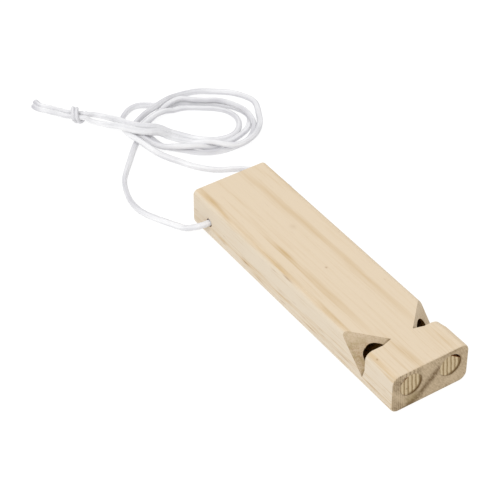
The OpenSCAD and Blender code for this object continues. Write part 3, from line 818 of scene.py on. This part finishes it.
LEFT_END = (
    (10.8, 60.3, 1.7), (7, 63.6, 2.9), (2.4, 66, 5.8), (-2.4, 67.8, 7.5), (-6.1, 70.8, 7.6),
    (-9.2, 75, 7.5), (-10.7, 81.5, 6.2), (-11.3, 88, 3.8), (-12.8, 93.2, 2.4), (-16, 96.4, 2.8),
)
RIGHT_END = (
    (8.4, 57.3, 1.7), (5, 60.6, 2.9), (0.3, 62.3, 6.2), (-4.5, 63.8, 7.5), (-8.3, 67.2, 7.6),
    (-11.4, 72, 7.5), (-13.6, 78.5, 6), (-14.9, 84.5, 3.3), (-16.9, 89.4, 2.1), (-19.7, 92.9, 2.4),
)
LEFT_TAIL = (
    (-27.6, 109, 2.4), (-29.2, 113.2, 1.5), (-31.6, 117, 1.4),
    (-33.6, 119.4, 1.4), (-34.3, 121.8, 1.4), (-34.2, 124.2, 1.4),
)
RIGHT_TAIL = (
    (-30.5, 108.2, 2.4), (-32.1, 112.3, 1.5), (-34.2, 115.7, 1.4),
    (-36, 118.3, 1.4), (-36.7, 121.7, 1.4),
)
KNOT_MIDDLE = Vector((-24.5, 100, 4))
KNOT_LENGTH = 5
KNOT_AXIS = Vector((-math.sqrt(0.5), math.sqrt(0.5), 0))        # from the loops towards the tails
KNOT_SIDE = Vector((math.sqrt(0.5), math.sqrt(0.5), 0))
STRAND_OFFSET = 1.6
# A wrap of the knot: steps, and its first angle, sweep and middle in degrees
WRAP_STEPS, WRAP_FROM, WRAP_SWEEP, WRAP_MIDDLE = 60, -70, 440, 140
WRAP_ADVANCE = -2.6        # along the knot in half a turn
WRAP_OFFSET = 0.92        # of each strand from the middle of both
TUCK_RATE = 6        # how fast an end of a wrap comes out from where it is tucked in
TUCKED_WIDE, TUCKED_HIGH = 2.2, 1.7        # half the size of a wrap where it is tucked in
OUTER_WIDE, OUTER_HIGH = 1.25, 1.3        # what it gains outside
# The mesh of a cord
CORD_SIDES, WRAP_SIDES = 16, 14
CURVE_STEPS = 10        # from one point of the route to the next
TIP_RINGS, TIP_LENGTH, TIP_END = 5, 0.55, 0.04        # a round tip: its length and last width, as shares


def loop_points(stations, start):
    points = []
    for number, (distance, height) in enumerate(stations):
        angle = math.radians(start - LOOP_STEP * number)
        points.append((
            LOOPS_MIDDLE[0] + distance * math.cos(angle),
            LOOPS_MIDDLE[1] + distance * math.sin(angle),
            height,
        ))
    return points


def through_knot(side, width):
    places = (-KNOT_LENGTH / 2 - width, -KNOT_LENGTH / 2, KNOT_LENGTH / 2, KNOT_LENGTH / 2 + width)
    return [KNOT_MIDDLE + KNOT_AXIS * place + KNOT_SIDE * side * STRAND_OFFSET for place in places]


def smooth_curve(points, lowest):
    """A smooth curve through the points, never lower than the floor lets the cord lie."""
    points = [Vector(point) for point in points]
    curve = []
    for number in range(len(points) - 1):
        near = (min(max(number + k, 0), len(points) - 1) for k in (-1, 0, 1, 2))
        before, first, last, after = (points[k] for k in near)
        for step in range(CURVE_STEPS):
            t = step / CURVE_STEPS
            at = first + (last - before) / 2 * t
            at += (before - 2.5 * first + 2 * last - after / 2) * t * t
            at += (3 * first - before - 3 * last + after) / 2 * t ** 3
            curve.append(at)
    curve.append(points[-1])
    for at in curve:
        at.z = max(at.z, lowest)
    return curve


def cord_rings(path, half):
    """Middle, direction, share of the width and length so far of each ring of a cord with round tips."""
    count = len(path)
    tangents = [(path[min(i + 1, count - 1)] - path[max(i - 1, 0)]).normalized() for i in range(count)]
    rings = [(path[0], tangents[0], 1.0, 0.0)]
    whole = 0.0
    for before, at, tangent in zip(path, path[1:], tangents[1:]):
        whole += (at - before).length
        rings.append((at, tangent, 1.0, whole))
    for number in range(1, TIP_RINGS + 1):
        bend = number / TIP_RINGS * math.pi / 2
        reach = half * TIP_LENGTH * math.sin(bend)
        share = max(math.cos(bend), TIP_END)
        rings.insert(0, (path[0] - tangents[0] * reach, tangents[0], share, -half))
        rings.append((path[-1] + tangents[-1] * reach, tangents[-1], share, whole + half))
    return rings, whole


def ring_corners(at, tangent, radius, turn, sides):
    """The corners of one ring, a little flat, with its wide sides turned."""
    across = tangent.cross(UP).normalized()
    upward = across.cross(tangent)
    corners = []
    for k in range(sides):
        angle = TURN * k / sides
        flat = 1 + FLATNESS * math.cos(2 * (angle - turn))
        corners.append(at + (across * math.cos(angle) + upward * math.sin(angle)) * radius * flat)
    return corners


def map_weave(mesh, places, sides):
    """Maps the weave: round the cord from 0 to 1, and along it in millimetres before its tip."""
    weave = mesh.uv_layers.new(name=WEAVE_MAP)
    for face in mesh.polygons:
        on_seam = any(mesh.loops[loop].vertex_index % sides == sides - 1 for loop in face.loop_indices)
        for loop in face.loop_indices:
            ring, k = divmod(mesh.loops[loop].vertex_index, sides)
            around = 1.0 if k == 0 and on_seam else k / sides
            weave.data[loop].uv = (around, places[ring])


def tube(name, path, width, sides=CORD_SIDES):
    """A closed cord along a path in metres, with round tips and a map for its weave."""
    half = width / 2
    rings, whole = cord_rings(path, half)
    places = [(along - whole) / MM for _, _, _, along in rings]
    corners = []
    for (at, tangent, share, _), place in zip(rings, places):
        spread = min(max((place - SLACK_FROM) / (SLACK_TO - SLACK_FROM), 0), 1)
        radius = half * share * (1 + SLACK * math.sin(math.pi * spread))
        corners.extend(ring_corners(at, tangent, radius, place * WRING, sides))
    last = len(corners) - sides
    faces = []
    for start in range(0, last, sides):
        for k in range(sides):
            a, b = start + k, start + (k + 1) % sides
            faces.append((a, b, b + sides, a + sides))
    faces.append(tuple(reversed(range(sides))))
    faces.append(tuple(range(last, last + sides)))
    mesh = bpy.data.meshes.new(name)
    mesh.from_pydata(corners, [], faces)
    map_weave(mesh, places, sides)
    piece = bpy.data.objects.new(name, mesh)
    bpy.context.collection.objects.link(piece)
    edit(piece, "FACE")
    bpy.ops.mesh.select_all(action="SELECT")
    bpy.ops.mesh.normals_make_consistent(inside=False)
    close_edit()
    bpy.ops.object.shade_smooth()
    return piece


def metres(points):
    """Points of the route in the whistle's own frame."""
    return [Vector((p[0], p[1] + FAR_FACE, p[2])) * MM for p in points]


# Stage, in metres and watts
FLOOR_SIZE, FLOOR_ROUGH, FLOOR_SPECULAR, FLOOR_GLOW = 16, 0.9, 0.1, 0.85
WHITE = (1, 1, 1, 1)
SKY_STRENGTH = 0.72
# Lights: name, place, aim, power and width
LIGHTS = (
    ("key_light", (-0.9, -0.25, 1.1), (0, 0, 0), 9.0, 0.9),
    ("fill_light", (0.5, 0.6, 1.2), (0, 0.05, 0), 4.0, 0.9),
)
CAMERA_AZIMUTH, CAMERA_ELEVATION = math.radians(-34.0095), math.radians(39.9879)
CAMERA_LENS, CAMERA_SENSOR, CAMERA_NEAREST, CAMERA_FURTHEST = 134.576, 36, 0.01, 20
CAMERA_BACK, CAMERA_RIGHT, CAMERA_UP = 0.82513, -0.0324416, 0.0208084        # on its own axes


class WHISTLE_OT_stage(Operator):
    """Make the floor, the soft lights and the camera"""
    bl_idname = "whistle.stage"
    bl_label = "Stage and camera"

    def execute(self, context):
        self.floor(context)
        world = bpy.data.worlds.new("soft_studio")
        world.use_nodes = True
        sky = world.node_tree.nodes["Background"]
        sky.inputs["Color"].default_value = WHITE
        sky.inputs["Strength"].default_value = SKY_STRENGTH
        context.scene.world = world
        context.scene.view_settings.view_transform = "Standard"
        for light in LIGHTS:
            self.lamp(context, *light)
        self.camera(context)
        return {"FINISHED"}

    def floor(self, context):
        deselect_all()
        bpy.ops.mesh.primitive_plane_add(size=FLOOR_SIZE, location=(0, 0, 0))
        floor = context.object
        floor.name = "studio_floor"
        paint = bpy.data.materials.new("plain_floor")
        paint.use_nodes = True
        surface = paint.node_tree.nodes["Principled BSDF"]
        surface.inputs["Base Color"].default_value = (*context.scene.whistle_colours.floor, 1)
        surface.inputs["Roughness"].default_value = FLOOR_ROUGH
        surface.inputs["Specular IOR Level"].default_value = FLOOR_SPECULAR
        surface.inputs["Emission Color"].default_value = WHITE
        surface.inputs["Emission Strength"].default_value = FLOOR_GLOW
        floor.data.materials.append(paint)

    def lamp(self, context, name, place, aim, power, width):
        data = bpy.data.lights.new(name, "AREA")
        data.energy = power
        data.size = width
        lamp = bpy.data.objects.new(name, data)
        lamp.location = place
        lamp.rotation_euler = (Vector(aim) - Vector(place)).to_track_quat("-Z", "Y").to_euler()
        context.collection.objects.link(lamp)

    def camera(self, context):
        data = bpy.data.cameras.new("front_camera")
        data.lens = CAMERA_LENS
        data.sensor_width = CAMERA_SENSOR
        data.sensor_fit = "HORIZONTAL"
        data.clip_start = CAMERA_NEAREST
        data.clip_end = CAMERA_FURTHEST
        camera = bpy.data.objects.new("front_camera", data)
        back = Vector((
            math.sin(CAMERA_AZIMUTH) * math.cos(CAMERA_ELEVATION),
            -math.cos(CAMERA_AZIMUTH) * math.cos(CAMERA_ELEVATION),
            math.sin(CAMERA_ELEVATION),
        ))
        right = Vector((math.cos(CAMERA_AZIMUTH), math.sin(CAMERA_AZIMUTH), 0))
        up = back.cross(right)
        turn = Matrix((right, up, back)).transposed().to_4x4()
        place = back * CAMERA_BACK + right * CAMERA_RIGHT + up * CAMERA_UP
        camera.matrix_world = Matrix.Translation(place) @ turn
        context.collection.objects.link(camera)
        context.scene.camera = camera


class WHISTLE_OT_cord(Operator):
    """Make both halves of the neck cord, from the hole to their tails, and the knot that ties them"""
    bl_idname = "whistle.cord"
    bl_label = "Neck cord and knot"

    def execute(self, context):
        sizes = context.scene.whistle_sizes
        colours = context.scene.whistle_colours
        paint = satin("white_satin", colours, LOOSE_GREY)
        width = sizes.cord_diameter
        lowest = width / 2 / MM * (1 + FLATNESS)
        knot = self.wraps(sizes)
        # The knot's satin is a greyer copy of the cord's: painted shade for the tightly wrapped knot
        hand_over(knot, "neck_cord_knot", satin("shaded_knot_satin", colours, KNOT_SHADE_GREY), "cord", "cord_knot")
        left_loops = loop_points(LEFT_LOOPS, LEFT_LOOPS_FROM)
        right_loops = loop_points(RIGHT_LOOPS, RIGHT_LOOPS_FROM)
        for name, side, lead, loops, end, strand, tail in (
            ("left", -1, LEFT_LEAD, left_loops, LEFT_END, 1, LEFT_TAIL),
            ("right", 1, RIGHT_LEAD, right_loops, RIGHT_END, -1, RIGHT_TAIL),
        ):
            route = [*lead, *loops, *end, *through_knot(strand, width / MM), *tail]
            path = metres(smooth_curve(route, lowest))
            cord = tube("neck_cord_" + name, path, width)
            hand_over(
                cord, "neck_cord_" + name, paint, "cord",
                *(f"cord_{name}_{stretch}" for stretch in ("lead", "loops", "end_run", "tail")),
            )
        return {"FINISHED"}

    def wraps(self, sizes):
        """Two strands pulled tight side by side round both halves of the cord, with their ends tucked in."""
        made = []
        for strand in (-1, 1):
            points = []
            for number in range(WRAP_STEPS + 1):
                share = number / WRAP_STEPS
                degrees = WRAP_FROM + WRAP_SWEEP * share
                angle = math.radians(degrees)
                tuck = min(1.0, TUCK_RATE * share, TUCK_RATE * (1 - share))
                wide = (TUCKED_WIDE + OUTER_WIDE * tuck) * math.cos(angle)
                high = (TUCKED_HIGH + OUTER_HIGH * tuck) * math.sin(angle)
                along = WRAP_ADVANCE * (degrees - WRAP_MIDDLE) / 180 + strand * WRAP_OFFSET
                points.append(KNOT_MIDDLE + KNOT_AXIS * along + KNOT_SIDE * wide + UP * high)
            made.append(tube("wrap", metres(points), sizes.wrap_diameter, WRAP_SIDES))
        make_active(made[0])
        made[1].select_set(True)
        bpy.ops.object.join()
        return made[0]


class WHISTLE_OT_block(Operator):
    """Make the pine block: round its edges, drill both bores and the cord hole, and saw both windows"""
    bl_idname = "whistle.block"
    bl_label = "Pine block"

    def execute(self, context):
        sizes = context.scene.whistle_sizes
        mouth, far = -sizes.block_length / 2, sizes.block_length / 2
        block = self.rounded(sizes, mouth, far)
        for side, depth, ramp, chip in (
            (-1, sizes.left_bore_depth, sizes.left_ramp, LEFT_CHIP),
            (1, sizes.right_bore_depth, sizes.right_ramp, RIGHT_CHIP),
        ):
            axis = Vector((side * sizes.bore_x, mouth, sizes.bore_z))
            middle = axis + Vector((0, (depth - OVERSHOOT) / 2, 0))
            cut(block, drill(sizes.bore_radius, depth + OVERSHOOT, middle, ALONG))
            cut(block, self.window(sizes, side, ramp))
            start = sizes.window_from_mouth + sizes.toe_length / 2
            chipped = axis + Vector((chip[0], start + CHIP_LENGTH / 2, chip[1]))
            cut(block, drill(sizes.bore_radius, CHIP_LENGTH, chipped, ALONG))
        hole = (0, far - sizes.hole_inset, sizes.hole_z)
        cut(block, drill(sizes.hole_radius, sizes.block_width + 2 * OVERSHOOT, hole, ACROSS, HOLE_SIDES))
        weld(block)
        smooth(block)
        paint = Pine("sanded_pine", sizes, context.scene.whistle_colours).paint()
        hand_over(block, "pine_block", paint, "pine", "whistle_block")
        return {"FINISHED"}

    def rounded(self, sizes, mouth, far):
        """The whole bar. Its top edges change their radius at the windows, the right one twice."""
        wall = mouth + sizes.window_from_mouth
        rounder = wall - sizes.right_wall_run
        change = wall + sizes.toe_length
        half = EDGE_CHANGE / 2
        block = self.bar(sizes, mouth, rounder, sizes.left_mouth_edge, sizes.right_mouth_edge)
        for before, start, end, left_top, right_top in (
            (rounder, wall - half, change - half, sizes.left_mouth_edge, sizes.right_wall_edge),
            (change - half, change + half, far, sizes.top_edge, sizes.top_edge),
        ):
            stretch = self.bar(sizes, start, end, left_top, right_top)
            make_active(block)
            stretch.select_set(True)
            bpy.ops.object.join()
            self.bridge(block, before, start)
        for end in (mouth, far):
            round_end(block, end, sizes.end_edge, END_SEGMENTS)
        return block

    def bar(self, sizes, start, end, left_top, right_top):
        """A stretch of the bar with its long edges rounded."""
        deselect_all()
        middle = sizes.block_height / 2
        bpy.ops.mesh.primitive_cube_add(size=1, location=(0, (start + end) / 2, middle))
        bar = bpy.context.object
        bar.scale = (sizes.block_width, end - start, sizes.block_height)
        apply_place(bar)
        reach = (sizes.block_width + sizes.block_height) / 2 - NEAR
        for radius, left, top in (
            (left_top, True, True), (right_top, False, True),
            (sizes.lower_edge, True, False), (sizes.lower_edge, False, False),
        ):
            def wanted(edge):
                a, b = (corner.co for corner in edge.verts)
                right_one = (a.x < 0) == left and (a.z > middle) == top
                sharp = abs(a.x) + abs(a.z - middle) > reach
                return right_one and sharp and abs(a.y - b.y) > MM
            choose(bar, "EDGE", wanted)
            bevel(radius, ROUND_SEGMENTS)
        return bar

    def bridge(self, block, before, start):
        """Joins two stretches of the bar, from the end of one to the start of the next."""
        def inner(face):
            places = [corner.co.y for corner in face.verts]
            return max(places) - min(places) < NEAR and before - NEAR < places[0] < start + NEAR
        choose(block, "FACE", inner)
        bpy.ops.mesh.delete(type="ONLY_FACE")
        close_edit()
        choose(block, "EDGE", lambda edge: edge.is_boundary)
        bpy.ops.mesh.bridge_edge_loops()
        close_edit()

    def window(self, sizes, side, ramp_length):
        """The saw's shape: a square wall with a sloping foot, and a ramp up to the corner."""
        wall = -sizes.block_length / 2 + sizes.window_from_mouth
        corner = Vector((side * sizes.block_width / 2, wall, sizes.block_height))
        outward = Vector((side, 0, 1)).normalized()
        depth = sizes.window_reach / math.sqrt(2)
        deselect_all()
        bpy.ops.mesh.primitive_cube_add(size=SAW_SIZE, location=corner + Vector((0, SAW_SIZE / 2, 0)))
        saw = bpy.context.object
        apply_place(saw)
        lengthwise = Vector((0, 1, 0))
        floor = corner - outward * depth + lengthwise * sizes.toe_length
        ramp = (lengthwise * depth - outward * ramp_length).normalized()
        toe = (-lengthwise * sizes.toe_height - outward * sizes.toe_length).normalized()
        slice_off(saw, floor, ramp)
        slice_off(saw, floor, toe)
        return saw


class WHISTLE_OT_plugs(Operator):
    """Make both fipple plugs: dowels with a chamfered rim and a flat that leaves the windway"""
    bl_idname = "whistle.plugs"
    bl_label = "Fipple plugs"

    def execute(self, context):
        sizes = context.scene.whistle_sizes
        paint = Dowel("dowel_end_grain", sizes, context.scene.whistle_colours).paint()
        front = -sizes.block_length / 2 + sizes.plug_inset
        length = sizes.window_from_mouth - sizes.plug_inset
        for name, side, windway in (("left", -1, sizes.left_windway), ("right", 1, sizes.right_windway)):
            middle = Vector((side * sizes.bore_x, front + length / 2, sizes.bore_z))
            plug = drill(sizes.plug_radius, length, middle, ALONG)
            round_end(plug, front, sizes.plug_chamfer, CHAMFER_SEGMENTS)
            outward = Vector((side * math.sin(sizes.flat_turn), 0, math.cos(sizes.flat_turn)))
            slice_off(plug, middle + outward * (sizes.bore_radius - windway), outward)
            weld(plug)
            smooth(plug)
            hand_over(plug, "fipple_plug_" + name, paint, "dowel", name + "_fipple_plug")
        return {"FINISHED"}


class WHISTLE_PT_panel(Panel):
    """Lists the steps that build the whistle, with its sizes and colours"""
    bl_idname = "WHISTLE_PT_panel"
    bl_label = "Wooden whistle"
    bl_space_type = "VIEW_3D"
    bl_region_type = "UI"
    bl_category = "Whistle"

    def draw(self, context):
        for step in STEPS:
            self.layout.operator(step.bl_idname)
        for group in (context.scene.whistle_sizes, context.scene.whistle_colours):
            column = self.layout.column(align=True)
            for key in group.__annotations__:
                column.prop(group, key)


STEPS = (WHISTLE_OT_stage, WHISTLE_OT_cord, WHISTLE_OT_block, WHISTLE_OT_plugs)
CLASSES = (WhistleSizes, WhistleColours, *STEPS, WHISTLE_PT_panel)


def register():
    for kind in CLASSES:
        bpy.utils.register_class(kind)
    bpy.types.Scene.whistle_sizes = PointerProperty(type=WhistleSizes)
    bpy.types.Scene.whistle_colours = PointerProperty(type=WhistleColours)


def unregister():
    del bpy.types.Scene.whistle_colours
    del bpy.types.Scene.whistle_sizes
    for kind in reversed(CLASSES):
        bpy.utils.unregister_class(kind)


def main():
    register()
    bpy.ops.whistle.stage()
    bpy.ops.whistle.cord()
    bpy.ops.whistle.block()
    bpy.ops.whistle.plugs()


if __name__ == "__main__":
    main()
